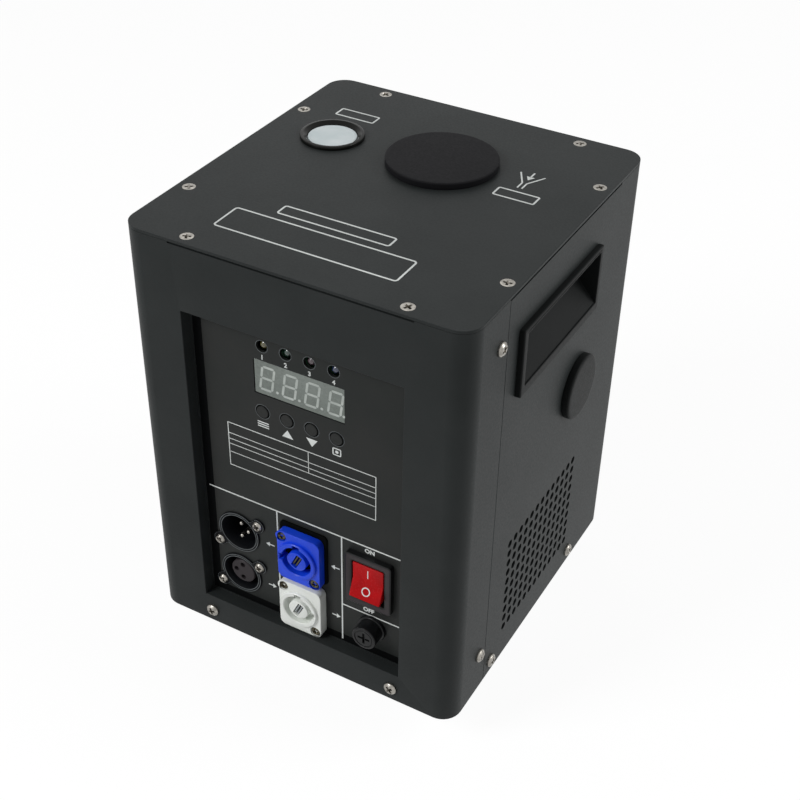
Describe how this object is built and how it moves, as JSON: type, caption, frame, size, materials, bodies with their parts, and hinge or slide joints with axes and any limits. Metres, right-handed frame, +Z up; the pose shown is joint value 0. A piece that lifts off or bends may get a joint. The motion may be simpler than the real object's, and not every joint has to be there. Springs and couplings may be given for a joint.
{
  "type": "cold spark machine",
  "caption": "Stage effect cabinet: hopper, feed screw, heated chamber and blower throw cold sparks from a nozzle in the top; recessed control panel, carrying handles, rubber feet.",
  "frame": {"origin": "on the ground, under the middle of the cabinet's plan", "axes": "+X towards the side with the round plug, -Y out of the control panel, +Z up"},
  "size_m": [0.1872, 0.1921, 0.26],
  "materials": {
    "powder_coat": "charcoal powder coat, satin with a fine texture",
    "panel_coat": "charcoal powder coat with pale screen-printed lines",
    "zinc_steel": "zinc-plated sheet steel",
    "nickel_plate": "nickel-plated, bright",
    "satin_aluminium": "satin",
    "scaled_steel": "heat-scaled steel",
    "copper": "bare copper, slightly dulled",
    "ceramic": "unglazed ceramic",
    "foot_rubber": "moulded black rubber",
    "black_plastic": "moulded, fine texture",
    "grey_plastic": "moulded, satin",
    "natural_plastic": "natural translucent moulding",
    "blue_plastic": "moulded, semi-gloss",
    "white_plastic": "moulded, semi-gloss",
    "red_plastic": "translucent, polished",
    "display_face": "grey filter face, satin",
    "board_laminate": "green solder mask",
    "fuse_glass": "clear",
    "lamp_yellow": "diffused, unlit",
    "lamp_green": "diffused, unlit",
    "lamp_red": "diffused, unlit",
    "lamp_blue": "diffused, unlit"
  },
  "bodies": {
    "cabinet": {"base_pan": "zinc_steel", "front_shell": "powder_coat", "rear_shell": "powder_coat", "top_plate": "powder_coat", "control_panel": "panel_coat", "foot_front_left": "foot_rubber", "foot_front_right": "foot_rubber", "foot_rear_left": "foot_rubber", "foot_rear_right": "foot_rubber", "top_plate_screw_1": "nickel_plate", "top_plate_screw_2": "nickel_plate", "top_plate_screw_3": "nickel_plate", "top_plate_screw_4": "nickel_plate", "top_plate_screw_5": "nickel_plate", "top_plate_screw_6": "nickel_plate", "top_plate_screw_7": "nickel_plate", "top_plate_screw_8": "nickel_plate", "side_screw_seam_top": "nickel_plate", "side_screw_seam_bottom": "nickel_plate", "side_screw_base_front": "nickel_plate", "side_screw_base_rear": "nickel_plate", "front_screw_left": "nickel_plate", "front_screw_right": "nickel_plate", "handle_right": "black_plastic", "handle_left": "black_plastic", "hopper": "natural_plastic", "feed_tube": "satin_aluminium", "gear_motor": "zinc_steel", "spark_nozzle": "grey_plastic", "heating_chamber": "scaled_steel", "ceramic_sleeve": "ceramic", "induction_coil": "copper", "blower_housing": "black_plastic", "fan_frame": "black_plastic", "power_board": "board_laminate", "display_board": "board_laminate", "display_module": "display_face", "lamp_yellow": "lamp_yellow", "lamp_green": "lamp_green", "lamp_red": "lamp_red", "lamp_blue": "lamp_blue", "signal_inlet": "grey_plastic", "signal_outlet": "grey_plastic", "power_inlet": "blue_plastic", "power_outlet": "white_plastic", "switch_housing": "grey_plastic", "fuse_holder": "black_plastic"},
    "hopper_cap": {"hopper_cap": "black_plastic"},
    "outlet_disc": {"outlet_disc": "satin_aluminium"},
    "side_plug": {"side_plug": "black_plastic"},
    "button_menu": {"button_menu": "grey_plastic"},
    "button_up": {"button_up": "grey_plastic"},
    "button_down": {"button_down": "grey_plastic"},
    "button_enter": {"button_enter": "grey_plastic"},
    "power_rocker": {"power_rocker": "red_plastic"},
    "fuse_carrier": {"fuse": "fuse_glass"},
    "fuse_cap": {"fuse_cap": "black_plastic"},
    "fan_rotor": {"fan_rotor": "grey_plastic"},
    "blower_rotor": {"blower_rotor": "grey_plastic"},
    "feed_screw": {"feed_screw": "scaled_steel"}
  },
  "joints": [
    {"name": "hopper_cap_lift", "type": "slide", "parent": "cabinet", "child": "hopper_cap", "axis": [0, 0, 1], "range_m": [0, 0.03]},
    {"name": "outlet_disc_lift", "type": "slide", "parent": "cabinet", "child": "outlet_disc", "axis": [0, 0, 1], "range_m": [0, 0.02]},
    {"name": "side_plug_pull", "type": "slide", "parent": "cabinet", "child": "side_plug", "axis": [1, 0, 0], "range_m": [0, 0.02]},
    {"name": "button_menu_press", "type": "slide", "parent": "cabinet", "child": "button_menu", "axis": [0, 1, 0], "range_m": [0, 0.0005], "stiffness_N_per_m": 1500},
    {"name": "button_up_press", "type": "slide", "parent": "cabinet", "child": "button_up", "axis": [0, 1, 0], "range_m": [0, 0.0005], "stiffness_N_per_m": 1500},
    {"name": "button_down_press", "type": "slide", "parent": "cabinet", "child": "button_down", "axis": [0, 1, 0], "range_m": [0, 0.0005], "stiffness_N_per_m": 1500},
    {"name": "button_enter_press", "type": "slide", "parent": "cabinet", "child": "button_enter", "axis": [0, 1, 0], "range_m": [0, 0.0005], "stiffness_N_per_m": 1500},
    {"name": "power_rocker_tip", "type": "hinge", "parent": "cabinet", "child": "power_rocker", "pos_m": [0.0387, -0.0849, 0.0907], "axis": [1, 0, 0], "range_deg": [0, 22]},
    {"name": "fuse_pull", "type": "slide", "parent": "cabinet", "child": "fuse_carrier", "axis": [0, -1, 0], "range_m": [0, 0.03]},
    {"name": "fuse_cap_turn", "type": "hinge", "parent": "fuse_carrier", "child": "fuse_cap", "pos_m": [0.0398, -0.0931, 0.0588], "axis": [0, 1, 0], "range_deg": [0, 90]},
    {"name": "cooling_fan_spin", "type": "hinge", "parent": "cabinet", "child": "fan_rotor", "pos_m": [0.0805, 0, 0.0715], "axis": [1, 0, 0], "continuous": true},
    {"name": "blower_spin", "type": "hinge", "parent": "cabinet", "child": "blower_rotor", "pos_m": [-0.054, 0.0305, 0.034], "axis": [0, 0, 1], "continuous": true},
    {"name": "feed_screw_turn", "type": "hinge", "parent": "cabinet", "child": "feed_screw", "pos_m": [0, 0.03185, 0.122], "axis": [1, 0, 0], "continuous": true}
  ]
}
